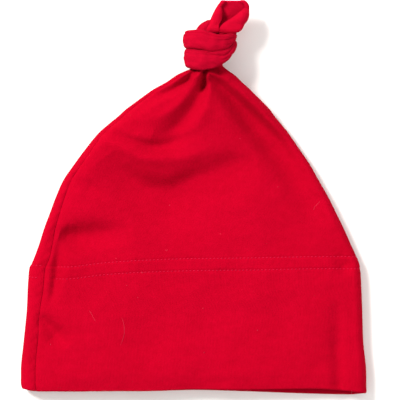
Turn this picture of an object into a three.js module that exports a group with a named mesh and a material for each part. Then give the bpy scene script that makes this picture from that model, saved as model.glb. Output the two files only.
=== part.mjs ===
// A baby's knotted hat in cotton jersey, lying flat on its back panel.
// Units are millimetres, +Z is up, +Y runs from the mouth to the knot and +X is the wearer's left.
// The hat is a tube of cloth: two panels sewn at the sides, a deep hem turned inside at the mouth,
// and the narrow end of the tube tied in one overhand knot.
import * as THREE from "three";

// Driving sizes of the body
const hemWidth = 169; // flat width across the mouth
const bodyHeight = 157.8; // from the mouth to the underside of the knot
const hemDepth = 64.2; // from the mouth to the hem's stitching
const cloth = 1.0; // one layer of jersey
const pileHeight = 10.5; // height of the front panel's middle above the table
const edgeHeight = 8.4; // thickness of the folded sides
const edgeReach = 4.1; // how far the round of a folded side reaches in
const seamInset = 7.4; // how far each side seam lies inside the outline
const seamGap = 0.8; // between the two panels along a seam
const seamDip = 0.5; // how far the cloth sinks beside a seam
const foldDepth = 5.0; // depth of the deepest pleat under the knot
const layerGap = 0.9; // always left between the front's and the back's inner faces

// Driving sizes of the knot and the free end
const knotOffset = 7.8; // the knot's middle, to the side of the mouth's middle
const knotWidth = 26.5;
const knotLength = 19.6; // both turns together, along the body
const knotDepth = 22; // above the table
const turnThickness = 5.4; // the flattened tube where it winds round the core
const clearance = 0.4; // between the core, the turns and the free end
const tailLength = 14.4; // free end beyond the knot
const tailWidth = 18.0; // free end at its widest
const tailRise = 9.6; // underside of the free end above the table
const tailDepth = 6.6; // from its underside to the top of its folded sides
const tailCloth = 1.7; // both layers of the flattened tube
const tightestBend = 0.95; // of the free end's cloth, at its middle

// Places that follow from those sizes
const knotBase = bodyHeight;
const knotMiddle = knotDepth / 2;
const coreHalfWidth = knotWidth / 2 - turnThickness - clearance;
const coreHalfDepth = knotDepth / 2 - turnThickness - clearance;
const neckHalfWidth = coreHalfWidth * 0.97;
const neckLow = knotMiddle - coreHalfDepth;
const neckHigh = knotMiddle + coreHalfDepth;

// Sections of the body. up: share of bodyHeight. left, right: 1 is the mouth's half width and 0 the
// neck's. neck: how far the section has turned into the gathered neck. front: share of pileHeight.
const bodySections = [
  { up: 0.0, left: 0.998, right: 1.0, neck: 0, front: 0.87 },
  { up: 0.02, left: 1.003, right: 0.998, neck: 0, front: 0.92 },
  { up: 0.065, left: 1.003, right: 0.997, neck: 0, front: 1.0 },
  { up: 0.165, left: 0.986, right: 0.976, neck: 0, front: 1.0 },
  { up: 0.264, left: 0.968, right: 0.969, neck: 0, front: 0.98 },
  { up: 0.338, left: 0.962, right: 0.962, neck: 0, front: 0.96 },
  { up: 0.388, left: 0.954, right: 0.955, neck: 0, front: 0.95 },
  { up: 0.413, left: 0.934, right: 0.941, neck: 0, front: 0.95 },
  { up: 0.463, left: 0.899, right: 0.892, neck: 0, front: 0.95 },
  { up: 0.512, left: 0.87, right: 0.843, neck: 0, front: 0.96 },
  { up: 0.562, left: 0.835, right: 0.788, neck: 0, front: 0.98 },
  { up: 0.612, left: 0.8, right: 0.732, neck: 0, front: 1.0 },
  { up: 0.661, left: 0.759, right: 0.669, neck: 0.01, front: 1.03 },
  { up: 0.711, left: 0.695, right: 0.606, neck: 0.03, front: 1.08 },
  { up: 0.761, left: 0.626, right: 0.529, neck: 0.06, front: 1.14 },
  { up: 0.81, left: 0.55, right: 0.453, neck: 0.12, front: 1.22 },
  { up: 0.86, left: 0.44, right: 0.362, neck: 0.24, front: 1.3 },
  { up: 0.885, left: 0.387, right: 0.32, neck: 0.33, front: 1.33 },
  { up: 0.91, left: 0.323, right: 0.264, neck: 0.44, front: 1.35 },
  { up: 0.941, left: 0.242, right: 0.194, neck: 0.6, front: 1.38 },
  { up: 0.969, left: 0.149, right: 0.125, neck: 0.78, front: 1.4 },
  { up: 0.987, left: 0.097, right: 0.083, neck: 0.9, front: 1.4 },
  { up: 1.0, left: 0.039, right: 0.041, neck: 0.97, front: 1.4 },
  { up: 1.007, left: -0.004, right: 0.02, neck: 1, front: 1.4 },
  { up: 1.016, left: -0.013, right: 0.0, neck: 1, front: 1.4 },
  { up: 1.025, left: -0.014, right: 0.0, neck: 1, front: 1.4 },
];

// The left seam's distance from the outline, as a share of seamInset.
const seamRun = [
  { up: 0.0, inset: 0.98 },
  { up: 0.065, inset: 0.967 },
  { up: 0.183, inset: 0.93 },
  { up: 0.255, inset: 0.88 },
  { up: 0.332, inset: 1.04 },
  { up: 0.419, inset: 1.06 },
  { up: 0.46, inset: 0.93 },
  { up: 0.522, inset: 0.76 },
  { up: 0.571, inset: 0.66 },
  { up: 0.624, inset: 0.6 },
  { up: 0.686, inset: 0.5 },
  { up: 0.745, inset: 0.43 },
  { up: 0.8, inset: 0.29 },
  { up: 1.025, inset: 0.24 },
];

// The two layers of the mouth's edge, across the width from -1 to 1, as shares of hemWidth.
const mouthLine = [
  { across: -1.0, front: 0.012, back: 0.012 },
  { across: -0.9, front: 0.005, back: 0.006 },
  { across: -0.25, front: 0.006, back: 0.006 },
  { across: 0.0, front: 0.011, back: 0.009 },
  { across: 0.3, front: 0.0105, back: 0.005 },
  { across: 0.7, front: 0.013, back: -0.002 },
  { across: 0.9, front: 0.006, back: -0.004 },
  { across: 1.0, front: 0.0, back: 0.0 },
];
const mouthReach = 0.12; // share of bodyHeight over which the mouth's line straightens

// Valleys in the cloth. Each route's points are across (shares of half the mouth's width, from the
// middle) and up (shares of bodyHeight). At each point, depth is a share of foldDepth, and before and
// after are shares of hemWidth: the valley's widths to the left and right of the way that it runs.
const FRONT = 1;
const BACK = -1;
const folds = [
  {
    side: FRONT,
    route: [[0.066, 1.017], [0.062, 0.995], [0.054, 0.966], [0.05, 0.938], [0.041, 0.916]],
    depth: [0.5, 0.9, 1.2, 1.0, 0.1],
    before: [0.007, 0.009, 0.012, 0.015, 0.018],
    after: [0.007, 0.009, 0.012, 0.015, 0.02],
  },
  {
    side: FRONT,
    route: [[0.05, 0.944], [-0.013, 0.884], [-0.083, 0.833], [-0.161, 0.792], [-0.237, 0.777], [-0.312, 0.806]],
    depth: [0.25, 0.5, 0.56, 0.48, 0.34, 0.03],
    before: [0.02, 0.03, 0.036, 0.04, 0.036, 0.03],
    after: [0.015, 0.02, 0.023, 0.023, 0.019, 0.016],
  },
  {
    side: FRONT,
    route: [[0.019, 1.011], [-0.036, 0.973], [-0.118, 0.942], [-0.237, 0.913], [-0.331, 0.878]],
    depth: [0.4, 0.65, 0.5, 0.3, 0.04],
    before: [0.009, 0.012, 0.015, 0.018, 0.018],
    after: [0.009, 0.012, 0.014, 0.016, 0.016],
  },
  {
    side: FRONT,
    route: [[0.099, 1.011], [0.136, 0.997], [0.183, 0.98], [0.26, 0.954]],
    depth: [0.6, 0.5, 0.25, 0.03],
    before: [0.009, 0.011, 0.014, 0.018],
    after: [0.009, 0.011, 0.014, 0.018],
  },
  {
    side: FRONT,
    route: [
      [0.124, 0.97], [0.237, 0.909], [0.367, 0.835], [0.476, 0.772], [0.556, 0.697], [0.627, 0.612],
      [0.722, 0.513], [0.864, 0.406],
    ],
    depth: [0.5, 1.15, 1.5, 1.35, 0.9, 0.5, 0.2, 0.15],
    before: [0.016, 0.022, 0.027, 0.029, 0.032, 0.036, 0.034, 0.026],
    after: [0.02, 0.03, 0.038, 0.044, 0.044, 0.042, 0.03, 0.024],
  },
  {
    side: FRONT,
    route: [
      [-0.5, 0.746], [-0.414, 0.691], [-0.277, 0.643], [-0.166, 0.631], [0.03, 0.669], [0.208, 0.704],
      [0.367, 0.716],
    ],
    depth: [0.05, 0.6, 1.0, 1.1, 0.85, 0.5, 0.03],
    before: [0.026, 0.034, 0.038, 0.04, 0.038, 0.034, 0.026],
    after: [0.05, 0.065, 0.08, 0.085, 0.085, 0.08, 0.065],
  },
  {
    side: FRONT,
    route: [[-0.473, 0.811], [-0.355, 0.77], [-0.225, 0.754], [-0.071, 0.77], [0.071, 0.792]],
    depth: [0.03, 0.2, 0.28, 0.2, 0.02],
    before: [0.016, 0.018, 0.02, 0.02, 0.018],
    after: [0.018, 0.022, 0.026, 0.026, 0.022],
  },
  {
    side: FRONT,
    route: [[-0.765, 0.51], [-0.675, 0.505], [-0.556, 0.508], [-0.39, 0.522]],
    depth: [0.5, 0.72, 0.5, 0.03],
    before: [0.014, 0.016, 0.018, 0.02],
    after: [0.018, 0.024, 0.03, 0.035],
  },
  {
    side: FRONT,
    route: [[-0.692, 0.672], [-0.604, 0.646], [-0.497, 0.615]],
    depth: [0.08, 0.25, 0.02],
    before: [0.016, 0.02, 0.02],
    after: [0.016, 0.022, 0.022],
  },
  {
    side: FRONT,
    route: [[-0.775, 0.469], [-0.785, 0.399], [-0.805, 0.33], [-0.824, 0.279]],
    depth: [0.05, 0.42, 0.34, 0.03],
    before: [0.015, 0.018, 0.017, 0.016],
    after: [0.012, 0.014, 0.013, 0.013],
  },
  {
    side: FRONT,
    route: [[-0.85, 0.225], [-0.778, 0.19], [-0.686, 0.149]],
    depth: [0.05, 0.22, 0.02],
    before: [0.02, 0.024, 0.024],
    after: [0.02, 0.028, 0.028],
  },
  {
    side: FRONT,
    route: [[0.822, 0.317], [0.834, 0.228], [0.84, 0.127], [0.85, -0.013]],
    depth: [0.02, 0.13, 0.2, 0.26],
    before: [0.018, 0.02, 0.02, 0.019],
    after: [0.016, 0.018, 0.018, 0.017],
  },
  {
    side: FRONT,
    route: [[0.81, 0.431], [0.86, 0.396], [0.89, 0.361]],
    depth: [0.03, 0.26, 0.03],
    before: [0.016, 0.019, 0.016],
    after: [0.016, 0.019, 0.016],
  },
  {
    side: BACK,
    route: [[0.024, 1.02], [-0.024, 0.963], [-0.142, 0.875]],
    depth: [0.3, 0.3, 0.02],
    before: [0.012, 0.018, 0.03],
    after: [0.012, 0.018, 0.03],
  },
  {
    side: BACK,
    route: [[0.083, 1.02], [0.1, 0.944], [0.118, 0.849]],
    depth: [0.2, 0.3, 0.02],
    before: [0.012, 0.018, 0.03],
    after: [0.012, 0.018, 0.03],
  },
  {
    side: BACK,
    route: [[0.142, 1.02], [0.225, 0.951], [0.343, 0.875]],
    depth: [0.3, 0.3, 0.02],
    before: [0.012, 0.018, 0.03],
    after: [0.012, 0.018, 0.03],
  },
];

// The flattened tube round the core. turn: degrees round the core, 0 at the left, 90 in front, 180 at
// the right and 270 behind. up, width: shares of knotLength. out: share of the full radius.
const turnSections = [
  { turn: -80, up: 0.95, width: 0.25, out: 0.86 },
  { turn: -66, up: 0.91, width: 0.3, out: 0.96 },
  { turn: -40, up: 0.825, width: 0.335, out: 1.0 },
  { turn: 0, up: 0.765, width: 0.42, out: 1.0 },
  { turn: 45, up: 0.766, width: 0.465, out: 1.0 },
  { turn: 70, up: 0.753, width: 0.49, out: 1.0 },
  { turn: 90, up: 0.695, width: 0.475, out: 1.0 },
  { turn: 110, up: 0.675, width: 0.38, out: 1.0 },
  { turn: 135, up: 0.705, width: 0.32, out: 1.0 },
  { turn: 158, up: 0.8, width: 0.225, out: 1.0 },
  { turn: 180, up: 0.85, width: 0.19, out: 1.0 },
  { turn: 225, up: 0.775, width: 0.29, out: 1.0 },
  { turn: 270, up: 0.6, width: 0.35, out: 1.0 },
  { turn: 315, up: 0.425, width: 0.41, out: 0.985 },
  { turn: 360, up: 0.315, width: 0.435, out: 0.97 },
  { turn: 405, up: 0.268, width: 0.49, out: 0.985 },
  { turn: 430, up: 0.245, width: 0.48, out: 1.0 },
  { turn: 450, up: 0.24, width: 0.39, out: 1.0 },
  { turn: 470, up: 0.28, width: 0.34, out: 1.0 },
  { turn: 495, up: 0.375, width: 0.28, out: 1.0 },
  { turn: 517, up: 0.53, width: 0.24, out: 1.0 },
  { turn: 540, up: 0.635, width: 0.2, out: 1.0 },
  { turn: 580, up: 0.475, width: 0.26, out: 1.0 },
  { turn: 606, up: 0.3, width: 0.2, out: 0.98 },
];
const turnFlatness = 3.6; // superellipse exponent of the flattened tube

// The gathered tube inside the knot. up: share of knotLength. middle, half: shares of the core's half
// width. level: shares of the core's half depth above the knot's middle. deep: share of that depth.
const coreSections = [
  { up: 0.22, middle: -0.02, half: 0.92, level: 0.0, deep: 0.92 },
  { up: 0.36, middle: -0.2, half: 0.76, level: 0.0, deep: 0.94 },
  { up: 0.5, middle: -0.5, half: 0.46, level: 0.0, deep: 0.94 },
  { up: 0.9, middle: -0.52, half: 0.45, level: 0.0, deep: 0.94 },
  { up: 1.0, middle: -0.6, half: 0.35, level: 0.05, deep: 0.96 },
  { up: 1.1, middle: -0.55, half: 0.32, level: 0.1, deep: 0.9 },
  { up: 1.18, middle: -0.45, half: 0.25, level: 0.08, deep: 0.76 },
  { up: 1.24, middle: -0.35, half: 0.15, level: 0.05, deep: 0.5 },
];

const coreFlatness = 2.2;
const coreFill = 0.96; // the most of the turns' hole that it fills

// The free end. up: share of tailLength above the knot. left, right, leftFold, rightFold: the outline
// and the inner edges of the two folded sides, as shares of tailWidth from the knot's middle.
// low, leftTop, rightTop: shares of tailDepth above tailRise.
const tailSections = [
  { up: -0.56, left: 0.06, leftFold: 0.19, rightFold: 0.24, right: 0.36, low: -0.2, leftTop: 0.7, rightTop: 0.7 },
  { up: -0.32, left: 0.06, leftFold: 0.19, rightFold: 0.24, right: 0.36, low: -0.2, leftTop: 0.7, rightTop: 0.7 },
  { up: -0.17, left: 0.04, leftFold: 0.18, rightFold: 0.23, right: 0.36, low: -0.2, leftTop: 0.74, rightTop: 0.74 },
  { up: -0.06, left: -0.03, leftFold: 0.16, rightFold: 0.23, right: 0.41, low: -0.26, leftTop: 0.78, rightTop: 0.82 },
  { up: 0.0, left: -0.05, leftFold: 0.17, rightFold: 0.23, right: 0.64, low: -0.3, leftTop: 0.8, rightTop: 0.9 },
  { up: 0.05, left: -0.06, leftFold: 0.18, rightFold: 0.24, right: 0.83, low: -0.28, leftTop: 0.8, rightTop: 0.94 },
  { up: 0.09, left: -0.056, leftFold: 0.2, rightFold: 0.27, right: 0.89, low: -0.25, leftTop: 0.8, rightTop: 0.96 },
  { up: 0.2, left: -0.038, leftFold: 0.247, rightFold: 0.37, right: 0.94, low: -0.2, leftTop: 0.8, rightTop: 1.0 },
  { up: 0.375, left: 0.016, leftFold: 0.3, rightFold: 0.6, right: 1.037, low: -0.12, leftTop: 0.8, rightTop: 1.02 },
  { up: 0.545, left: 0.076, leftFold: 0.31, rightFold: 0.79, right: 1.072, low: -0.05, leftTop: 0.8, rightTop: 0.95 },
  { up: 0.785, left: 0.179, leftFold: 0.288, rightFold: 0.982, right: 1.072, low: 0.06, leftTop: 0.6, rightTop: 0.72 },
  { up: 0.92, left: 0.26, leftFold: 0.3, rightFold: 1.0, right: 1.02, low: 0.14, leftTop: 0.52, rightTop: 0.56 },
  { up: 1.0, left: 0.31, leftFold: 0.34, rightFold: 0.9, right: 0.92, low: 0.2, leftTop: 0.5, rightTop: 0.5 },
];

// How finely the solids are faceted
const bodyRows = [
  0, 0.012, 0.04, 0.09, 0.15, 0.22, 0.3, 0.36, -1, -1, 0.44, 0.48, 0.515, 0.55, 0.585, 0.62, 0.65, 0.68,
  0.71, 0.74, 0.77, 0.8, 0.828, 0.852, 0.875, 0.896, 0.916, 0.935, 0.953, 0.969, 0.983, 0.995, 1.007, 1.016, 1.025,
];
const frontColumns = 38;
const backColumns = 24;
const turnSteps = 46;
const turnSides = 12;
const coreSides = 14;
const tailColumns = 20;

const mix = (a, b, share) => a + (b - a) * share;

// A smooth curve through one column of a table, which never overshoots its rows.
function follow(rows, key, column, at) {
  const last = rows.length - 1;
  if (at <= rows[0][key]) return rows[0][column];
  if (at >= rows[last][key]) return rows[last][column];
  let i = 0;
  while (rows[i + 1][key] < at) i++;
  const slope = (k) => (rows[k + 1][column] - rows[k][column]) / (rows[k + 1][key] - rows[k][key]);
  const tangent = (k) => {
    if (k === 0) return slope(0);
    if (k === last) return slope(last - 1);
    const before = slope(k - 1);
    const after = slope(k);
    return before * after <= 0 ? 0 : (2 * before * after) / (before + after);
  };
  const step = rows[i + 1][key] - rows[i][key];
  const t = (at - rows[i][key]) / step;
  return (
    (2 * t ** 3 - 3 * t ** 2 + 1) * rows[i][column] +
    (t ** 3 - 2 * t ** 2 + t) * step * tangent(i) +
    (3 * t ** 2 - 2 * t ** 3) * rows[i + 1][column] +
    (t ** 3 - t ** 2) * step * tangent(i + 1)
  );
}

// The sizes of the body's closed section at a height.
function bodySection(up) {
  const at = (column) => follow(bodySections, "up", column, up);
  const neck = at("neck");
  const neckX = knotOffset - coreHalfWidth * 0.1;
  const left = mix(neckX - neckHalfWidth, -hemWidth / 2, at("left"));
  const right = mix(neckX + neckHalfWidth, hemWidth / 2, at("right"));
  const half = (right - left) / 2;
  const low = neckLow * neck ** 2;
  const high = mix(pileHeight * at("front"), neckHigh, neck);
  return {
    middle: (left + right) / 2,
    half,
    neck,
    low,
    high,
    edge: mix(edgeHeight / 2, (high - low) / 2, neck),
    reach: mix(Math.min(edgeReach, half), half, neck),
    seam: seamInset * follow(seamRun, "up", "inset", up),
  };
}

// Each valley's route as a smooth line, ready to measure from.
const valleyLines = folds.map((fold) => {
  const stops = fold.route.map(([across, up]) => new THREE.Vector3((across * hemWidth) / 2, up * bodyHeight, 0));
  const line = new THREE.CatmullRomCurve3(stops, false, "centripetal");
  const pieces = 10 * (stops.length - 1);
  return { ...fold, points: Array.from({ length: pieces + 1 }, (_, i) => line.getPoint(i / pieces)) };
});

// A column's value at a share of the way along its route.
function alongRoute(column, share) {
  const at = share * (column.length - 1);
  const i = Math.min(column.length - 2, Math.floor(at));
  return mix(column[i], column[i + 1], at - i);
}

// How deep the valleys of one side are at a point.
function valleys(side, x, y) {
  let depth = 0;
  for (const fold of valleyLines) {
    if (fold.side !== side) continue;
    let nearest = Infinity;
    let share = 0;
    let toLeft = false;
    for (let i = 0; i < fold.points.length - 1; i++) {
      const [a, b] = [fold.points[i], fold.points[i + 1]];
      const [dx, dy] = [b.x - a.x, b.y - a.y];
      const t = Math.min(1, Math.max(0, ((x - a.x) * dx + (y - a.y) * dy) / (dx * dx + dy * dy)));
      const [offX, offY] = [x - a.x - t * dx, y - a.y - t * dy];
      const distance = Math.hypot(offX, offY);
      if (distance < nearest) {
        nearest = distance;
        share = (i + t) / (fold.points.length - 1);
        toLeft = dx * offY - dy * offX > 0;
      }
    }
    const width = alongRoute(toLeft ? fold.before : fold.after, share) * hemWidth;
    depth += alongRoute(fold.depth, share) * foldDepth * Math.exp(-((nearest / width) ** 2));
  }
  return depth;
}

// The cloth's thickness at a height: two layers in the hem and one above it.
const wallAt = (up) => (up * bodyHeight < hemDepth ? 2 * cloth : cloth);

// Where a seam's angle round the section is, for a distance inside the outline.
const seamAngle = (section, inset) => Math.acos(1 - Math.min(0.9, inset / section.half));

// A point of the body's outer face. angle goes round the section: -90 degrees is the left edge, 0 the
// middle of the front, 90 the right edge and 180 the middle of the back.
function bodyPoint(angle, up) {
  const s = bodySection(up);
  const across = Math.sin(angle);
  const side = Math.cos(angle) >= 0 ? FRONT : BACK;
  const straight = 1 - s.reach / s.half;
  const past = Math.max(0, (Math.abs(across) - straight) / (1 - straight));
  const round = Math.sqrt(Math.max(0, 1 - past ** 2));
  const x = s.middle + s.half * across;
  const fade = Math.max(0, 1 - up / mouthReach);
  const mouth = follow(mouthLine, "across", side === FRONT ? "front" : "back", across);
  const y = up * bodyHeight + mouth * hemWidth * fade ** 2;
  const level = s.low + s.edge;
  const soft = Math.min(1, (1 - Math.abs(across)) / 0.06) * round;
  let z;
  if (side === FRONT) {
    const rise = Math.max(0, s.high - s.low - 2 * s.edge);
    const dome = (1 - across ** 4) ** 1.2;
    const top = level + s.edge * round + rise * dome;
    const walls = 2 * wallAt(up) + layerGap;
    const floor = level - s.edge * round + valleys(BACK, x, y) * soft;
    const room = Math.max(0.01, top - floor - walls);
    z = top - room * Math.tanh((valleys(FRONT, x, y) * soft) / room);
  } else {
    z = level - s.edge * round + valleys(BACK, x, y) * soft;
  }
  return new THREE.Vector3(x, y, z);
}

// The outer face's direction, from small steps along it.
function bodyNormal(angle, up) {
  const step = 0.004;
  const along = bodyPoint(angle + step, up).sub(bodyPoint(angle - step, up));
  const rise = bodyPoint(angle, Math.min(1.025, up + step)).sub(bodyPoint(angle, Math.max(0, up - step)));
  return along.cross(rise).normalize();
}

const triangle = (list, a, b, c) => list.push(a, b, c);

// A closed solid from two equal grids of points, an outer face and an inner one, and a rim that joins
// them all round. grid[row][column]; seen from outside, columns run to the right and rows upwards.
function sheetSolid(outer, inner) {
  const rows = outer.length;
  const columns = outer[0].length;
  const points = [...outer.flat(), ...inner.flat()];
  const out = (r, c) => r * columns + c;
  const inn = (r, c) => rows * columns + r * columns + c;
  const faces = [];
  for (let r = 0; r < rows - 1; r++) {
    for (let c = 0; c < columns - 1; c++) {
      triangle(faces, out(r, c), out(r, c + 1), out(r + 1, c + 1));
      triangle(faces, out(r, c), out(r + 1, c + 1), out(r + 1, c));
      triangle(faces, inn(r, c), inn(r + 1, c + 1), inn(r, c + 1));
      triangle(faces, inn(r, c), inn(r + 1, c), inn(r + 1, c + 1));
    }
  }
  const rim = (a, b, c, d) => {
    triangle(faces, a, b, c);
    triangle(faces, a, c, d);
  };
  for (let c = 0; c < columns - 1; c++) {
    rim(out(0, c + 1), out(0, c), inn(0, c), inn(0, c + 1));
    rim(out(rows - 1, c), out(rows - 1, c + 1), inn(rows - 1, c + 1), inn(rows - 1, c));
  }
  for (let r = 0; r < rows - 1; r++) {
    rim(out(r, 0), out(r + 1, 0), inn(r + 1, 0), inn(r, 0));
    rim(out(r + 1, columns - 1), out(r, columns - 1), inn(r, columns - 1), inn(r + 1, columns - 1));
  }
  return geometryOf(points, faces);
}

// A closed solid through rings of points, with a fan over each end.
function ringSolid(rings) {
  const sides = rings[0].length;
  const points = rings.flat();
  const faces = [];
  for (let r = 0; r < rings.length - 1; r++) {
    for (let c = 0; c < sides; c++) {
      const next = (c + 1) % sides;
      const [a, b] = [r * sides + c, r * sides + next];
      triangle(faces, a, b, b + sides);
      triangle(faces, a, b + sides, a + sides);
    }
  }
  const fan = (ring, start, flip) => {
    const hub = points.length;
    points.push(ring.reduce((sum, p) => sum.add(p), new THREE.Vector3()).divideScalar(sides));
    for (let c = 0; c < sides; c++) {
      const [a, b] = [start + c, start + ((c + 1) % sides)];
      if (flip) triangle(faces, b, a, hub);
      else triangle(faces, a, b, hub);
    }
  };
  fan(rings[0], 0, true);
  fan(rings.at(-1), (rings.length - 1) * sides, false);
  return geometryOf(points, faces);
}

function geometryOf(points, faces) {
  const geometry = new THREE.BufferGeometry();
  geometry.setAttribute("position", new THREE.Float32BufferAttribute(points.flatMap((p) => p.toArray()), 3));
  geometry.setIndex(faces);
  geometry.computeVertexNormals();
  return geometry;
}

// A superellipse point, with its exponent, for an angle.
function superellipse(angle, power) {
  const shape = (value) => Math.sign(value) * Math.abs(value) ** (2 / power);
  return [shape(Math.cos(angle)), shape(Math.sin(angle))];
}

// One panel of the body between two angles, with the hem's second layer inside below its stitching.
function panel(columns, anglesAt) {
  const hemTop = hemDepth / bodyHeight;
  const hemStep = 0.004;
  const stitched = [hemTop - hemStep, hemTop + hemStep];
  const rows = bodyRows.map((up) => (up < 0 ? stitched.shift() : up));
  const outer = [];
  const inner = [];
  for (const up of rows) {
    const { from, to, gap } = anglesAt(up);
    const wall = wallAt(up);
    const outerRow = [];
    const innerRow = [];
    for (let c = 0; c <= columns; c++) {
      const angle = mix(from, to, c / columns);
      const point = bodyPoint(angle, up);
      const toSeam = c === 0 ? -gap : gap;
      const atSeam = c === 0 || c === columns;
      const normal = bodyNormal(atSeam ? angle + toSeam : angle, up);
      if (up === rows.at(-1)) normal.setY(0).normalize();
      if (atSeam) point.addScaledVector(normal, -seamDip);
      outerRow.push(point);
      innerRow.push(point.clone().addScaledVector(normal, -wall));
    }
    outer.push(outerRow);
    inner.push(innerRow);
  }
  return sheetSolid(outer, inner);
}

// The angles of the two seams at a height, and the small angle that keeps the panels apart there.
function seams(up) {
  const s = bodySection(up);
  const left = seamAngle(s, s.seam);
  const apart = (angle) => (seamGap * (0.5 + s.neck)) / (s.half * Math.abs(Math.sin(angle)));
  return {
    left: -Math.PI / 2 + left,
    right: Math.PI / 2 + left,
    gap: apart(left),
  };
}

function frontPanel() {
  return panel(frontColumns, (up) => {
    const { left, right, gap } = seams(up);
    return { from: left + gap, to: right - gap, gap };
  });
}

function backPanel() {
  return panel(backColumns, (up) => {
    const { left, right, gap } = seams(up);
    return { from: right + gap, to: left + 2 * Math.PI - gap, gap };
  });
}

// The strand that winds round the core, one and a half times and a little more.
function knotTurns() {
  const first = turnSections[0].turn;
  const last = turnSections.at(-1).turn;
  const rings = [];
  for (let i = 0; i <= turnSteps; i++) {
    const turn = mix(first, last, i / turnSteps);
    const at = (column) => follow(turnSections, "turn", column, turn);
    const angle = THREE.MathUtils.degToRad(180 - turn);
    const ends = Math.min(1, Math.min(i, turnSteps - i) / 1.5 + 0.35);
    const halfWidth = (at("width") * knotLength * ends) / 2;
    const halfThick = (turnThickness * ends) / 2;
    const radiusX = (knotWidth / 2) * at("out") - turnThickness / 2;
    const radiusZ = (knotDepth / 2) * at("out") - turnThickness / 2;
    const centre = new THREE.Vector3(
      knotOffset + radiusX * Math.cos(angle),
      knotBase + at("up") * knotLength,
      knotMiddle + radiusZ * Math.sin(angle),
    );
    const outward = new THREE.Vector3(Math.cos(angle) * radiusZ, 0, Math.sin(angle) * radiusX).normalize();
    const across = new THREE.Vector3(0, 1, 0);
    const ring = [];
    for (let k = 0; k < turnSides; k++) {
      const [u, v] = superellipse((2 * Math.PI * k) / turnSides, turnFlatness);
      ring.push(
        centre
          .clone()
          .addScaledVector(across, u * halfWidth)
          .addScaledVector(outward, v * halfThick),
      );
    }
    rings.push(ring);
  }
  return ringSolid(rings);
}

// The gathered tube where it runs up inside the turns and bends over behind them.
function knotCore() {
  const rings = coreSections.map((row) => {
    const ring = [];
    for (let k = 0; k < coreSides; k++) {
      const [u, v] = superellipse((-2 * Math.PI * k) / coreSides, coreFlatness);
      const spot = new THREE.Vector2(row.middle + row.half * u, row.level + row.deep * v);
      spot.clampLength(0, coreFill);
      ring.push(
        new THREE.Vector3(
          knotOffset + spot.x * coreHalfWidth,
          knotBase + row.up * knotLength,
          knotMiddle + spot.y * coreHalfDepth,
        ),
      );
    }
    return ring;
  });
  return ringSolid(rings);
}

// One section of the free end: a flattened tube whose sides are folded to the front.
function tailProfile(row, layer) {
  const half = tailCloth / 2;
  const x = (share) => knotOffset + share * tailWidth;
  const z = (share) => tailRise + share * tailDepth;
  const low = z(row.low) + half;
  const bend = (edge, fold, top, sign) => {
    const room = (Math.abs(edge - fold) - half) / 1.5;
    const radius = Math.max(tightestBend, Math.min((top - low) / 2, room));
    const points = [];
    for (const degrees of [-90, -45, 0, 45, 90]) {
      const a = THREE.MathUtils.degToRad(degrees);
      points.push([
        edge - sign * (half + radius) + sign * radius * Math.cos(a),
        low + radius + radius * Math.sin(a),
        sign * Math.cos(a),
        Math.sin(a),
      ]);
    }
    const [startX, startZ] = points.at(-1);
    const end = sign * Math.min(sign * fold, sign * startX - tightestBend / 4);
    points.push([end, startZ, 0, 1]);
    return points;
  };
  const left = bend(x(row.left), x(row.leftFold), z(row.leftTop) - half, -1).reverse();
  const right = bend(x(row.right), x(row.rightFold), z(row.rightTop) - half, 1);
  const floor = [];
  const spans = tailColumns - left.length - right.length + 1;
  for (let i = 1; i < spans; i++) {
    floor.push([mix(left.at(-1)[0], right[0][0], i / spans), low, 0, -1]);
  }
  const middle = [...left, ...floor, ...right];
  return middle.map(([px, pz, nx, nz]) => new THREE.Vector2(px + nx * half * layer, pz + nz * half * layer));
}

function knotTail() {
  const grid = (layer) =>
    tailSections.map((row) =>
      tailProfile(row, layer).map((p) => new THREE.Vector3(p.x, knotBase + knotLength + row.up * tailLength, p.y)),
    );
  return sheetSolid(grid(-1), grid(1));
}

const jersey = new THREE.MeshStandardMaterial({ color: 0xc4062a, roughness: 0.92, metalness: 0 });
const pieces = {
  front_panel: frontPanel(),
  back_panel: backPanel(),
  knot_core: knotCore(),
  knot_turns: knotTurns(),
  knot_tail: knotTail(),
};

const hat = new THREE.Group();
for (const [name, geometry] of Object.entries(pieces)) {
  const mesh = new THREE.Mesh(geometry, jersey.clone());
  mesh.name = name;
  hat.add(mesh);
}

// The origin is the middle of the hat's footprint, on the table.
const bounds = new THREE.Box3().setFromObject(hat);
const footprint = bounds.getCenter(new THREE.Vector3());
hat.position.set(-footprint.x, -footprint.y, -bounds.min.z);

export default hat;
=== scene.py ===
import math

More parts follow.
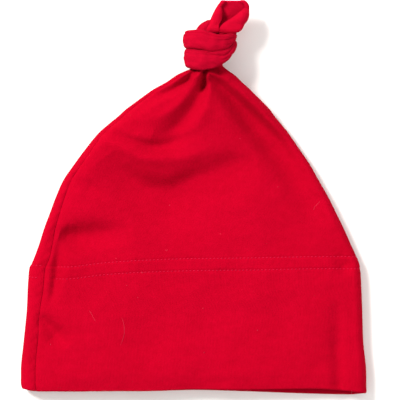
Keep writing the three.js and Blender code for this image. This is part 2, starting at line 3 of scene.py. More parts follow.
import bpy
import numpy as np
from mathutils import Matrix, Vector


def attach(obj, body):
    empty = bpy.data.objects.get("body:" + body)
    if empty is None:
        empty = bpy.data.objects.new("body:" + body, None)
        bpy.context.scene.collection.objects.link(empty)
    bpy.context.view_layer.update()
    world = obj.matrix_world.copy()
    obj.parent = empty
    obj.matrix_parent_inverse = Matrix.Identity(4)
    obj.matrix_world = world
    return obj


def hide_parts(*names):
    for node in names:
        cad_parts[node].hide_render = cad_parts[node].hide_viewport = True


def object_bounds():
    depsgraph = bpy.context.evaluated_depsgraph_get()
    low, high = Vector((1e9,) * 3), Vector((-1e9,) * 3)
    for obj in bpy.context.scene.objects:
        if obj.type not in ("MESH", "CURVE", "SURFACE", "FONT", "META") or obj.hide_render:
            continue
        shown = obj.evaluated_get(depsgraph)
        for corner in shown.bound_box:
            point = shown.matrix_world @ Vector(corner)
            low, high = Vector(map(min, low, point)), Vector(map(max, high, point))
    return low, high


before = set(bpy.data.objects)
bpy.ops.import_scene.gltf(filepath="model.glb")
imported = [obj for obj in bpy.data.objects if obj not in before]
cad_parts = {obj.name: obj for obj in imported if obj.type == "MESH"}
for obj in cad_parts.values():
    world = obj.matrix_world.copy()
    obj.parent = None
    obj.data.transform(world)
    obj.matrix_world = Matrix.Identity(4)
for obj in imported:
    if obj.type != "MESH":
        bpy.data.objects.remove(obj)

# A baby's knotted hat in cotton jersey, lying flat. Lengths here are millimetres until a mesh is made.
# The hat's own coordinates: +Y runs from the mouth to the knot, and y is 0 at the mouth.
cad_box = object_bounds()
MM = 0.001
ROOT = "root"
random = np.random.default_rng(7)

# Sizes of the body. Its outline and its heights are the solids' own.
HEM_WIDTH = 169.0
BODY_HEIGHT = 157.8
HEM_DEPTH = 64.2
CLOTH = 0.95
PILE_HEIGHT = 10.5
EDGE_HEIGHT = 8.4
EDGE_REACH = 4.1
SEAM_INSET = 7.4
SEAM_GAP = 0.1
SEAM_SINK = 0.4
SEAM_WIDTH = 0.9
GATHER_PUFF = 2.6
GATHER_UP = 0.985
GATHER_REACH = 0.018
FOLD_DEPTH = 5.0
LAYER_GAP = 0.9

# Shares of the body's height or width, and the powers that shape its dome
MOUTH_REACH = 0.12
CORNER_SHARE = 0.06
SLACK_END = 1.04
SLACK_FADE = 0.15
LIP_SHARE = 0.04
SEAM_FURTHEST = 0.9
SEAM_GAP_BELOW = 0.5
DOME_POWER = 4
DOME_SOFTNESS = 1.2

# The lip at the mouth, turned by these degrees, and where the hem's second layer ends, in millimetres
LIP_TURNS = (90, 62, 34, 14)
LAYER_END = 0.4
LAYER_END_WIDTH = 0.12
LEAST_ROOM = 0.01
# A face whose normal's height is below this lies on the table
LYING_FLAT = -0.9

# Sizes of the knot and the free end
KNOT_OFFSET = 7.8
KNOT_WIDTH = 26.5
KNOT_LENGTH = 19.6
KNOT_DEPTH = 22.0
TURN_THICKNESS = 5.4
CLEARANCE = 0.4
TAIL_LENGTH = 14.4
TAIL_WIDTH = 18.0
TAIL_RISE = 9.6
TAIL_DEPTH = 6.6
TAIL_CLOTH = 1.5
TIGHTEST_BEND = 0.8
TAIL_WAVE = 7
TAIL_WAVE_SEED = 31
TAIL_SLACK = 0.12
FLAP_LEAST = 0.2

# Shares in the knot and the free end
NECK_SHIFT = 0.1
NECK_SHARE = 0.97
TIP_SHARE = 0.035
TIP_THINNING = 0.75
FLAP_DROOP = 0.22
FLAP_CURL = 2.2
BEND_ROOM = 1.5

# Where the hat's own y is 0 on the part's own axes
FOOTPRINT_MIDDLE_Y = BODY_HEIGHT + KNOT_LENGTH + TAIL_LENGTH - np.array(cad_box)[1][1] / MM

# Sizes of the knitting, the sewing and the lint
STITCH_PITCH = 1.84
STITCH_LENGTH = 1.0
THREAD_RADIUS = 0.22
FIRST_STITCH = 6.4
STITCH_ROWS_APART = 5.9
STITCH_GROOVE = 0.28
GROOVE_WIDTH = 0.55
STITCH_ARCH = 0.5
STITCH_SINK = 0.15
STITCH_TILT = 0.05
LAST_STITCH = 1.0
PUCKER_DEPTH = 0.07
PUCKER_PITCH = 4.1
PUCKER_WANDER = 23
PUCKER_REACH = 4.4
HEM_STEP = 0.22
HEM_STEP_WIDTH = 0.4
SEAM_SHARPNESS = 1.5
SEAM_DIP = 0.25
SEAM_DIP_WIDTH = 2.6
SEAM_PUCKER = 0.1
SEAM_PUCKER_PITCH = 5.3
SEAM_PUCKER_REACH = 3.2
FIBRE_RADIUS = 0.06
SPECK_RADIUS = 0.09
SPECK_REACH = 0.32
LINT_ON_HEM = 0.12
LINT_ON_BODY = -0.18
WALE_PITCH = 0.72
COURSE_PITCH = 0.56

# Finenesses of the meshes: rows and columns of a panel, rings and sides of a tube
FRONT_GRID = (270, 300)
BACK_GRID = (200, 220)
TURN_GRID = (330, 64)
CORE_GRID = (90, 48)
TAIL_GRID = (90, 120)
ROUTE_POINTS = 72
BEND_POINTS = 17
FLAP_POINTS = 12
FLOOR_POINTS = 16
STITCH_GRID = (7, 7)
FIBRE_GRID = (14, 5)
SPECK_GRID = (5, 6)

# The stretches of a panel's rows: the share of BODY_HEIGHT where each ends, and its share of the rows
PANEL_ROWS = [(0.37, 0.3), (0.44, 0.14), (0.86, 0.34), (1.025, 0.22)]
EDGE_CROWDING = 0.35

# The slack of the cloth in front: wave length, how much closer the waves lie along y, height and seed
SLACK_WAVES = [(34, 1.0, 0.5, 3), (15, 1.3, 0.16, 5), (7, 1.0, 0.05, 9)]
RIPPLE_SPREAD = (0.75, 1.4)

# Colours of the cloth, the sewing thread, the lint and the stage: darker and lighter, in linear light
BODY_REDS = ((0.325, 0.0003, 0.0092), (0.43, 0.0006, 0.016))
# The knot is the same jersey as the body, painted a little darker: painted shade for the shading at the edges
# of its turns
KNOT_SHADED_REDS = ((0.335, 0.0008, 0.013), (0.4, 0.0016, 0.019))
# The free end is the same jersey too, painted lighter: painted light that brightens it where its rolled edges
# shade its inner face
END_LIT_REDS = ((0.378, 0.001, 0.0142), (0.44, 0.0018, 0.0205))
THREAD_REDS = ((0.43, 0.003, 0.026), (0.54, 0.009, 0.046))
LINT_PINKS = ((0.55, 0.018, 0.05), (0.66, 0.05, 0.1))
FLOOR_WHITES = ((0.86, 0.84, 0.82), (0.9, 0.885, 0.87))
SHEEN_TINT = (1.0, 0.12, 0.2, 1)
SKY_TINT = (1.0, 0.99, 0.98, 1)
SKY_STRENGTH = 0.76

# Scales of the noises, in waves for each metre, and heights of the bumps, in metres
WOBBLE_SCALE = 220.0
FUZZ_SCALE = 2600.0
MOTTLE_SCALE = 420.0
PATCH_SCALE = 46.0
TWIST_SCALE = 2100.0
THREAD_TONE_SCALE = 600.0
LINT_TONE_SCALE = 900.0
GRAIN_SCALE = 120.0
JERSEY_BUMP = 0.00024
THREAD_BUMP = 0.00008

# The camera's place in the hat's own millimetres, its height in metres and its lens in millimetres
CAMERA_X = 2.94
CAMERA_Y = 94.57
CAMERA_HEIGHT = 2.5
CAMERA_LENS = 459
CAMERA_SENSOR = 36
CAMERA_FAR = 10
FLOOR_REACH = 2.5
FLOOR_LEVEL = -0.0003
KEY = dict(toward=(-0.57, 0.48, 0.667), distance=3.0, size=0.9, power=146.0, tint=(1.0, 0.985, 0.96))
FILL = dict(toward=(0.7, -0.15, 0.7), distance=2.4, size=1.2, power=18.0, tint=(1.0, 0.99, 0.985))

CORE_HALF_WIDTH = KNOT_WIDTH / 2 - TURN_THICKNESS - CLEARANCE
CORE_HALF_DEPTH = KNOT_DEPTH / 2 - TURN_THICKNESS - CLEARANCE
KNOT_MIDDLE = KNOT_DEPTH / 2
NECK_HALF_WIDTH = CORE_HALF_WIDTH * NECK_SHARE
NECK_LOW = KNOT_MIDDLE - CORE_HALF_DEPTH
NECK_HIGH = KNOT_MIDDLE + CORE_HALF_DEPTH

# Sections of the body: share of BODY_HEIGHT, left and right spread, turn into the neck, front height
BODY_SECTIONS = np.array([
    (0.0, 0.998, 1.0, 0.0, 0.87), (0.02, 1.003, 0.998, 0.0, 0.92), (0.065, 1.003, 0.997, 0.0, 1.0),
    (0.165, 0.986, 0.976, 0.0, 1.0), (0.264, 0.968, 0.969, 0.0, 0.98), (0.338, 0.962, 0.962, 0.0, 0.96),
    (0.388, 0.954, 0.955, 0.0, 0.95), (0.413, 0.934, 0.941, 0.0, 0.95), (0.463, 0.899, 0.892, 0.0, 0.95),
    (0.512, 0.87, 0.843, 0.0, 0.96), (0.562, 0.835, 0.788, 0.0, 0.98), (0.612, 0.8, 0.732, 0.0, 1.0),
    (0.661, 0.759, 0.669, 0.01, 1.03), (0.711, 0.695, 0.606, 0.03, 1.08), (0.761, 0.626, 0.529, 0.06, 1.14),
    (0.81, 0.55, 0.453, 0.12, 1.22), (0.86, 0.44, 0.362, 0.24, 1.3), (0.885, 0.387, 0.32, 0.33, 1.33),
    (0.91, 0.323, 0.264, 0.44, 1.35), (0.941, 0.242, 0.194, 0.6, 1.38), (0.969, 0.149, 0.125, 0.78, 1.4),
    (0.987, 0.1, 0.083, 0.9, 1.4), (1.0, 0.05, 0.041, 0.97, 1.4), (1.007, 0.018, 0.02, 1.0, 1.4),
    (1.016, 0.002, 0.0, 1.0, 1.4), (1.025, 0.0, 0.0, 1.0, 1.4),
])

# The left seam's distance from the outline: share of BODY_HEIGHT, share of SEAM_INSET
SEAM_RUN = np.array([
    (0.0, 0.98), (0.065, 0.967), (0.183, 0.93), (0.255, 0.88), (0.332, 1.04), (0.419, 1.06), (0.46, 0.93),
    (0.522, 0.76), (0.571, 0.66), (0.624, 0.6), (0.686, 0.5), (0.745, 0.43), (0.8, 0.29), (1.025, 0.24),
])

# The mouth's edge: place across from -1 to 1, then the front's and the back's share of HEM_WIDTH
MOUTH_LINE = np.array([
    (-1.0, 0.012, 0.012), (-0.9, 0.005, 0.006), (-0.25, 0.006, 0.006), (0.0, 0.011, 0.009),
    (0.3, 0.0105, 0.005), (0.7, 0.013, -0.002), (0.9, 0.006, -0.004), (1.0, 0.0, 0.0),
])

# The upper row of stitches: place across, then share of BODY_HEIGHT on the front and on the back
STITCH_LINE = np.array([
    (-1.0, 0.398, 0.396), (-0.78, 0.392, 0.4), (-0.55, 0.405, 0.405), (-0.31, 0.413, 0.41),
    (0.0, 0.418, 0.412), (0.33, 0.42, 0.414), (0.79, 0.424, 0.42), (1.0, 0.424, 0.424),
])

# Folds of the cloth. Each route's points are (x, y) in millimetres from the mouth's middle. depth is
# a share of FOLD_DEPTH at each point. before and after are the widths on the two sides of the route,
# to the left and to the right of the way it runs, in millimetres.
FRONT_FOLDS = [
    # the pit under the knot and the valleys beside it
    dict(route=[(5.6, 160.5), (5.2, 157.0), (4.7, 153.4), (4.4, 150.0), (3.8, 146.5)],
         depth=[0.5, 0.9, 1.25, 1.05, 0.1], before=[0.8, 1.0, 1.3, 1.6, 2.2],
         after=[0.8, 1.0, 1.4, 1.7, 2.4]),
    dict(route=[(4.2, 149.0), (-1.1, 139.5), (-7.0, 131.5), (-13.6, 125.0), (-20.0, 122.6), (-26.4, 127.2)],
         depth=[0.25, 0.5, 0.56, 0.48, 0.34, 0.03], before=[3.0, 4.2, 5.2, 5.8, 5.2, 4.6],
         after=[2.4, 3.2, 4.0, 4.0, 3.4, 3.0]),
    dict(route=[(1.6, 159.5), (-3.0, 153.6), (-10.0, 148.6), (-20.0, 144.0), (-28.0, 138.6)],
         depth=[0.6, 0.85, 0.62, 0.4, 0.06], before=[1.3, 1.6, 2.0, 2.5, 2.6],
         after=[1.3, 1.6, 2.0, 2.6, 2.8]),
    dict(route=[(8.4, 159.5), (11.5, 157.4), (15.5, 154.6), (22.0, 150.5)],
         depth=[0.7, 0.75, 0.4, 0.03], before=[1.2, 1.5, 2.0, 2.8], after=[1.2, 1.5, 2.0, 2.8]),
    # ridges between those valleys
    dict(route=[(-0.4, 150.0), (-7.0, 141.6), (-15.0, 136.0), (-25.0, 132.6)],
         depth=[-0.1, -0.26, -0.22, -0.02], before=[1.8, 2.6, 3.2, 3.4], after=[1.8, 2.6, 3.0, 3.0]),
    dict(route=[(7.4, 149.0), (6.0, 140.0), (1.0, 132.5), (-5.0, 127.0)],
         depth=[-0.16, -0.26, -0.2, -0.02], before=[2.4, 3.4, 4.0, 4.0], after=[1.9, 2.6, 3.2, 3.2]),
    dict(route=[(17.0, 152.4), (27.0, 144.9), (38.0, 135.0), (47.0, 124.0)],
         depth=[-0.1, -0.3, -0.28, -0.02], before=[2.0, 3.0, 4.0, 4.4], after=[2.0, 3.0, 4.0, 4.4]),
    # the long soft valley down the right
    dict(route=[(10.5, 153.0), (20.0, 143.5), (31.0, 131.8), (40.2, 121.8), (47.0, 110.0), (53.0, 96.5),
                (61.0, 81.0), (73.0, 64.0)],
         depth=[0.6, 1.6, 2.3, 2.0, 1.15, 0.55, 0.22, 0.16], before=[2.4, 3.0, 3.5, 4.0, 5.0, 6.0, 5.6, 4.6],
         after=[3.4, 5.0, 6.4, 7.4, 7.4, 7.0, 5.0, 4.0]),
    # the swag: two ridges, then the cloth drops steeply and comes back slowly
    dict(route=[(-42.0, 116.6), (-35.0, 107.6), (-23.4, 100.3), (-13.0, 98.7), (2.5, 104.9), (17.6, 110.9),
                (31.0, 113.0)],
         depth=[0.05, 0.75, 1.35, 1.6, 1.2, 0.65, 0.03], before=[4.2, 5.4, 6.0, 6.2, 5.9, 5.4, 4.4],
         after=[8.5, 11.0, 13.5, 14.5, 14.5, 13.5, 11.0]),
    dict(route=[(-46.1, 125.8), (-36.3, 120.4), (-21.6, 115.0), (-6.9, 115.2), (10.3, 120.8)],
         depth=[-0.02, -0.22, -0.34, -0.28, -0.02], before=[2.0, 2.4, 2.8, 2.8, 2.6],
         after=[2.6, 3.2, 3.8, 3.8, 3.2]),
    dict(route=[(-44.0, 128.4), (-30.0, 122.6), (-19.6, 120.4), (-8.0, 123.0), (4.0, 127.4)],
         depth=[0.02, 0.16, 0.22, 0.16, 0.01], before=[2.2, 2.6, 3.0, 3.0, 2.6],
         after=[1.8, 2.2, 2.4, 2.4, 2.2]),
    dict(route=[(-41.2, 131.0), (-28.9, 126.2), (-18.4, 123.8), (-9.3, 126.6), (0.9, 129.4)],
         depth=[-0.01, -0.14, -0.2, -0.14, -0.01], before=[2.0, 2.4, 2.6, 2.6, 2.4],
         after=[1.8, 2.0, 2.2, 2.2, 2.0]),
    # creases that start at the left seam
    dict(route=[(-65.6, 78.4), (-62.0, 77.4), (-57.0, 76.9), (-48.0, 77.6), (-30.0, 80.6)],
         depth=[0.12, 0.85, 1.25, 0.95, 0.03], before=[2.6, 3.8, 4.6, 5.4, 6.0],
         after=[3.6, 5.0, 6.2, 7.5, 8.0]),
    dict(route=[(-58.5, 105.4), (-51.0, 101.0), (-42.0, 96.0)],
         depth=[0.08, 0.26, 0.02], before=[2.4, 3.0, 3.0], after=[2.4, 3.4, 3.4]),
    dict(route=[(-65.9, 74.0), (-66.6, 63.0), (-68.2, 52.0), (-69.7, 44.0)],
         depth=[0.08, 0.6, 0.5, 0.05], before=[2.4, 2.9, 2.7, 2.5], after=[1.8, 2.2, 2.0, 2.0]),
    dict(route=[(-73.0, 35.4), (-67.4, 29.2), (-61.0, 23.0)],
         depth=[0.35, 0.75, 0.03], before=[3.0, 3.6, 3.6], after=[3.0, 4.2, 4.2]),
    # soft creases of the hem on the right
    dict(route=[(69.0, 50.0), (70.0, 36.0), (70.5, 20.0), (71.3, -2.0)],
         depth=[0.02, 0.22, 0.36, 0.42], before=[3.0, 3.2, 3.0, 2.8], after=[3.2, 3.8, 3.8, 3.4]),
    dict(route=[(68.6, 67.6), (73.1, 62.1), (75.6, 56.6)],
         depth=[0.03, 0.26, 0.03], before=[2.6, 3.2, 2.6], after=[2.6, 3.2, 2.6]),
]
BACK_FOLDS = [
    dict(route=[(2.0, 161.0), (-2.0, 152.0), (-12.0, 138.0)], depth=[0.3, 0.3, 0.02], before=[2.0, 3.0, 5.0],
         after=[2.0, 3.0, 5.0]),
    dict(route=[(7.0, 161.0), (8.5, 149.0), (10.0, 134.0)], depth=[0.2, 0.3, 0.02], before=[2.0, 3.0, 5.0],
         after=[2.0, 3.0, 5.0]),
    dict(route=[(12.0, 161.0), (19.0, 150.0), (29.0, 138.0)], depth=[0.3, 0.3, 0.02], before=[2.0, 3.0, 5.0],
         after=[2.0, 3.0, 5.0]),
]

# The flattened tube round the core: degrees round it, then up, width and radius as shares
TURN_SECTIONS = np.array([
    (-80, 0.95, 0.26, 0.86), (-66, 0.91, 0.31, 0.96), (-40, 0.825, 0.345, 1.0), (0, 0.765, 0.455, 1.0),
    (45, 0.766, 0.48, 1.0), (70, 0.753, 0.505, 1.0), (90, 0.695, 0.5, 1.0), (110, 0.675, 0.43, 1.0),
    (135, 0.705, 0.38, 1.0), (158, 0.8, 0.27, 1.0), (180, 0.85, 0.25, 1.0), (225, 0.775, 0.31, 1.0),
    (270, 0.6, 0.36, 1.0), (315, 0.425, 0.42, 0.985), (360, 0.318, 0.485, 0.97), (405, 0.268, 0.515, 0.985),
    (430, 0.245, 0.505, 1.0), (450, 0.245, 0.44, 1.0), (470, 0.285, 0.41, 1.0), (495, 0.38, 0.34, 1.0),
    (517, 0.53, 0.29, 1.0), (540, 0.63, 0.26, 1.0), (580, 0.475, 0.27, 1.0), (606, 0.3, 0.2, 0.98),
], dtype=float)

# Creases along the turns: degrees where it starts and ends, its place across the turn there from -1 to
# 1, its depth and its width in millimetres
TURN_CREASES = [
    (-60, 150, 0.7, 0.62, 0.5, 0.42),
    (-30, 175, 0.44, 0.2, 0.3, 0.38),
    (60, 200, 0.1, -0.1, 0.24, 0.42),
    (112, 215, -0.3, -0.5, 0.4, 0.3),
    (118, 205, 0.3, 0.36, 0.4, 0.3),
    (-70, 40, -0.35, -0.55, 0.18, 0.5),
    (250, 340, 0.3, 0.45, 0.3, 0.5),
    (240, 350, -0.25, -0.1, 0.3, 0.5),
    (428, 488, 0.92, 0.1, 0.85, 0.5),
    (478, 535, 0.1, 0.75, 0.6, 0.36),
    (466, 560, -0.3, -0.6, 0.38, 0.34),
    (335, 400, 0.3, 0.1, 0.18, 0.5),
    (350, 430, -0.3, -0.2, 0.18, 0.7),
]
TURN_FLATNESS = 2.6
CREASE_FADE = 0.2
CREASE_SIDE = 0.35
TURN_END_SHARE = 0.03
TURN_END_SIZE = 0.3

# The dent where the tube bends at the right: degrees and place across, each with its width, and depth
TURN_DENT = dict(turn=446, turn_width=22, across=-0.62, across_width=0.34, depth=0.9)
# The slack of the turns: how far its waves run for each degree, and across, then their length and height
TURN_SLACK = dict(along=0.22, across=1.4, length=6, height=0.2, seed=21)

# The gathered tube inside the knot: up, middle, half width, level and half depth, as shares
CORE_SECTIONS = np.array([
    (0.22, -0.02, 0.92, 0.0, 0.92), (0.36, -0.2, 0.76, 0.0, 0.94), (0.5, -0.5, 0.46, 0.0, 0.94),
    (0.9, -0.5, 0.47, 0.0, 0.94), (1.0, -0.33, 0.62, -0.02, 0.86), (1.1, -0.18, 0.6, -0.06, 0.78),
    (1.18, -0.02, 0.53, -0.12, 0.7), (1.26, 0.14, 0.3, -0.2, 0.46),
])
CORE_FLATNESS = 2.2
CORE_FILL = 0.96
PLEATS = 7
PLEAT_DEPTH = 0.05
PLEAT_TWIST = 0.6
PLEAT_WAVES = 9

# The free end: up, left outline, left fold, right fold, right outline, underside, left top, right top
TAIL_SECTIONS = np.array([
    (-0.56, 0.06, 0.19, 0.24, 0.36, -0.2, 0.7, 0.7),
    (-0.32, 0.06, 0.19, 0.24, 0.36, -0.2, 0.7, 0.7),
    (-0.17, 0.04, 0.18, 0.23, 0.36, -0.2, 0.74, 0.74),
    (-0.1, 0.0, 0.17, 0.23, 0.52, -0.24, 0.76, 0.78),
    (-0.04, -0.1, 0.24, 0.26, 0.76, 0.36, 0.9, 0.92),
    (0.01, -0.11, 0.24, 0.26, 0.85, 0.44, 0.95, 0.98),
    (0.05, -0.1, 0.235, 0.26, 0.88, 0.46, 0.95, 1.0),
    (0.09, -0.08, 0.235, 0.28, 0.9, 0.42, 0.92, 1.0),
    (0.2, -0.04, 0.25, 0.37, 0.94, 0.14, 0.82, 1.0),
    (0.375, 0.016, 0.3, 0.6, 1.037, -0.12, 0.8, 1.02),
    (0.545, 0.076, 0.31, 0.79, 1.072, -0.05, 0.8, 0.95),
    (0.785, 0.179, 0.288, 0.982, 1.072, 0.06, 0.6, 0.72),
    (0.92, 0.26, 0.3, 1.0, 1.02, 0.14, 0.52, 0.56),
    (1.0, 0.31, 0.34, 0.9, 0.92, 0.2, 0.5, 0.5),
])

# Lint that lies on the front: routes of short fibres and single specks, in millimetres
FIBRES = [
    [(58.3, 89.7), (59.2, 91.5), (60.8, 93.0), (61.4, 94.2)],
    [(-51.4, 40.7), (-50.2, 39.4), (-49.2, 37.2), (-48.0, 35.3)],
    [(-35.3, 37.2), (-34.2, 33.6), (-34.0, 29.9), (-35.8, 23.5)],
    [(-25.9, 59.6), (-25.2, 58.9), (-24.6, 59.4)],
    [(-14.2, 70.3), (-13.5, 69.8), (-12.9, 70.4)],
]
SPECKS = [(-70.1, 24.0), (-32.8, 52.9), (-27.4, 47.0), (4.4, 41.7), (4.9, 20.1), (22.5, 124.5), (-55.0, 131.0),
          (13.0, 78.0), (-38.0, 66.0), (41.0, 101.0), (31.0, 31.0), (-12.0, 92.0)]


def mix(a, b, share):
    return a + (b - a) * share


def bell(distance, width):
    """1 at no distance, falling softly to nothing past the width."""
    return np.exp(-((distance / width) ** 2))


def soft_step(distance, width):
    """0 well below no distance and 1 well above it."""
    return 1 / (1 + np.exp(-distance / width))


def full_turn(sides):
    return 2 * math.pi * np.arange(sides) / sides


def smooth_curve(x, y, at):
    """A smooth curve through points, which never overshoots them."""
    step = np.diff(x)
    slope = np.diff(y) / step
    before = slope[:-1]
    after = slope[1:]
    same_way = before * after > 0
    total = np.where(same_way, before + after, 1.0)
    inner = np.where(same_way, 2 * before * after / total, 0.0)
    tangent = np.concatenate([[slope[0]], inner, [slope[-1]]])
    at = np.clip(np.asarray(at, dtype=float), x[0], x[-1])
    i = np.clip(np.searchsorted(x, at, side="right") - 1, 0, len(step) - 1)
    t = (at - x[i]) / step[i]
    return (
        (2 * t ** 3 - 3 * t ** 2 + 1) * y[i]
        + (t ** 3 - 2 * t ** 2 + t) * step[i] * tangent[i]
        + (3 * t ** 2 - 2 * t ** 3) * y[i + 1]
        + (t ** 3 - t ** 2) * step[i] * tangent[i + 1]
    )


def follow(table, at):
    """A smooth curve through each further column of a table, by its first column."""
    return [smooth_curve(table[:, 0], column, at) for column in table.T[1:]]


def smooth_route(points, count):
    """A smooth line through points, as count points, with each one's place from 0 to 1."""
    share = np.linspace(0, 1, len(points))
    at = np.linspace(0, 1, count)
    return np.column_stack(follow(np.column_stack([share, points]), at)), at


def fold_depth(folds, x, y):
    """How deep the folds are at each place."""
    total = np.zeros_like(x)
    for fold in folds:
        line, share = smooth_route(fold["route"], ROUTE_POINTS)
        stops = np.linspace(0, 1, len(fold["route"]))
        nearest = np.full(x.shape, np.inf)
        place = np.zeros_like(x)
        side = np.zeros_like(x)
        for i in range(len(line) - 1):
            ax, ay = line[i]
            dx, dy = line[i + 1] - line[i]
            t = np.clip(((x - ax) * dx + (y - ay) * dy) / (dx * dx + dy * dy), 0, 1)
            off_x = x - ax - t * dx
            off_y = y - ay - t * dy
            distance = np.hypot(off_x, off_y)
            closer = distance < nearest
            nearest = np.where(closer, distance, nearest)
            place = np.where(closer, mix(share[i], share[i + 1], t), place)
            side = np.where(closer, np.sign(dx * off_y - dy * off_x), side)
        before = np.interp(place, stops, fold["before"])
        after = np.interp(place, stops, fold["after"])
        width = np.where(side > 0, before, after)
        total += np.interp(place, stops, fold["depth"]) * FOLD_DEPTH * bell(nearest, width)
    return total


def ripples(x, y, length, seed, waves=22):
    """Soft uneven ripples of about one wave length, from -1 to 1 or so."""
    draw = np.random.default_rng(seed)
    total = np.zeros_like(x + y)
    for _ in range(waves):
        way = draw.uniform(0, 2 * math.pi)
        wave = 2 * math.pi / (length * draw.uniform(*RIPPLE_SPREAD))
        start = draw.uniform(0, 2 * math.pi)
        total += np.cos(wave * (x * math.cos(way) + y * math.sin(way)) + start)
    return total * math.sqrt(2 / waves) / 2


def body_section(up):
    left_share, right_share, neck, front_height = follow(BODY_SECTIONS, up)
    [seam_share] = follow(SEAM_RUN, up)
    neck_x = KNOT_OFFSET - CORE_HALF_WIDTH * NECK_SHIFT
    left = mix(neck_x - NECK_HALF_WIDTH, -HEM_WIDTH / 2, left_share)
    right = mix(neck_x + NECK_HALF_WIDTH, HEM_WIDTH / 2, right_share)
    half = (right - left) / 2
    low = NECK_LOW * neck ** 2
    high = mix(PILE_HEIGHT * front_height, NECK_HIGH, neck)
    return dict(
        middle=(left + right) / 2,
        half=half,
        neck=neck,
        low=low,
        high=high,
        edge=mix(EDGE_HEIGHT / 2, (high - low) / 2, neck),
        reach=mix(np.minimum(EDGE_REACH, half), half, neck),
        seam=SEAM_INSET * seam_share,
    )


def stitch_distance(angle, up):
    """How far a place lies above the upper row of stitches, in millimetres."""
    front_line, back_line = follow(STITCH_LINE, np.sin(angle))
    return (up - np.where(np.cos(angle) >= 0, front_line, back_line)) * BODY_HEIGHT


def body_surface(angle, up):
    """The outer face. angle goes round the section, with -90 degrees at the left edge and 0 in front."""
    s = body_section(up)
    across = np.sin(angle)
    front = np.cos(angle) >= 0
    straight = 1 - s["reach"] / s["half"]
    past = np.maximum(0, (np.abs(across) - straight) / (1 - straight))
    curve = np.sqrt(np.maximum(0, 1 - past ** 2))
    front_mouth, back_mouth = follow(MOUTH_LINE, across)
    fade = np.maximum(0, 1 - up / MOUTH_REACH)
    x = s["middle"] + s["half"] * across
    y = up * BODY_HEIGHT + np.where(front, front_mouth, back_mouth) * HEM_WIDTH * fade ** 2
    level = s["low"] + s["edge"]
    soft = np.minimum(1, (1 - np.abs(across)) / CORNER_SHARE) * curve
    layers = np.where(stitch_distance(angle, up) < 0, 2, 1)
    walls = 2 * CLOTH * layers + LAYER_GAP
    back = level - s["edge"] * curve + fold_depth(BACK_FOLDS, x, y) * soft
    rise = np.maximum(0, s["high"] - s["low"] - 2 * s["edge"])
    dome = (1 - across ** DOME_POWER) ** DOME_SOFTNESS
    slack = sum(
        height * ripples(x, y * closer, length, seed)
        for length, closer, height, seed in SLACK_WAVES
    )
    puff = GATHER_PUFF * bell(up - GATHER_UP, GATHER_REACH)
    top = level + s["edge"] * curve + rise * dome
    top += (slack * np.clip((SLACK_END - up) / SLACK_FADE, 0, 1) + puff) * soft
    room = np.maximum(LEAST_ROOM, top - back - walls)
    sunk = fold_depth(FRONT_FOLDS, x, y) * soft
    face = top - room * np.tanh(sunk / room)
    return np.stack([x, y, np.where(front, face, back)], axis=-1)


def grid_normals(points, flip=1.0):
    along = np.gradient(points, axis=1)
    upward = np.gradient(points, axis=0)
    normal = np.cross(along, upward) * flip
    return normal / np.maximum(np.linalg.norm(normal, axis=-1, keepdims=True), 1e-9)


def grid_lengths(points, axis):
    """How far along a grid's rows or columns each of its points lies, in millimetres."""
    steps = np.linalg.norm(np.diff(points, axis=axis), axis=-1)
    start = np.zeros_like(np.take(steps, [0], axis=axis))
    return np.concatenate([start, np.cumsum(steps, axis=axis)], axis=axis)


def new_mesh(name, points, faces, cloth_map, material):
    """A piece from points in millimetres, a list of faces and each point's place on the flat cloth."""
    mesh = bpy.data.meshes.new(name)
    world = (np.asarray(points) - (0, FOOTPRINT_MIDDLE_Y, 0)) * MM
    mesh.from_pydata(world.tolist(), [], faces)
    corner = np.empty(len(mesh.loops), dtype=np.int32)
    mesh.loops.foreach_get("vertex_index", corner)
    layer = mesh.uv_layers.new(name="cloth")
    layer.uv.foreach_set("vector", np.asarray(cloth_map, dtype=np.float32)[corner].ravel())
    mesh.shade_smooth()
    mesh.materials.append(material)
    piece = bpy.data.objects.new(name, mesh)
    bpy.context.scene.collection.objects.link(piece)
    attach(piece, ROOT)
    return piece


def grid_faces(rows, columns, start=0, around=False):
    """Quads over a grid of points; with around, its last column joins its first."""
    r = np.arange(rows - 1)[:, None]
    c = np.arange(columns if around else columns - 1)[None, :]
    following = (c + 1) % columns
    a = start + r * columns + c
    b = start + r * columns + following
    return np.stack([a, b, b + columns, a + columns], axis=-1).reshape(-1, 4)


def closed_sheet(name, outer, inner, material):
    """A closed solid between two equal grids of points."""
    rows, columns = outer.shape[:2]
    count = rows * columns
    faces = [grid_faces(rows, columns), grid_faces(rows, columns, count)[:, ::-1]]
    index = np.arange(count).reshape(rows, columns)
    edges = [index[0, ::-1], index[:, 0], index[-1, :], index[::-1, -1]]
    for edge in edges:
        a = edge[:-1]
        b = edge[1:]
        faces.append(np.stack([a, b, b + count, a + count], axis=-1))
    u = grid_lengths(outer, 1)
    v = grid_lengths(outer, 0)
    u = u - u[:, [columns // 2]]
    cloth_map = np.stack([u, v], axis=-1).reshape(-1, 2)
    points = np.concatenate([outer.reshape(-1, 3), inner.reshape(-1, 3)])
    cloth_map = np.concatenate([cloth_map, cloth_map])
    return new_mesh(name, points, np.concatenate(faces).tolist(), cloth_map, material)


def seam_angles(up):
    """Where the left and the right seam run, as angles, and half the gap between the panels there."""
    s = body_section(up)
    inset = np.arccos(1 - np.minimum(SEAM_FURTHEST, s["seam"] / s["half"]))
    gap = SEAM_GAP * (SEAM_GAP_BELOW + s["neck"]) / (s["half"] * np.abs(np.sin(inset)))
    return -math.pi / 2 + inset, math.pi / 2 + inset, gap


def front_span(up):
    left, right, gap = seam_angles(up)
    return left + gap, right - gap


def back_span(up):
    left, right, gap = seam_angles(up)
    return right + gap, left + 2 * math.pi - gap


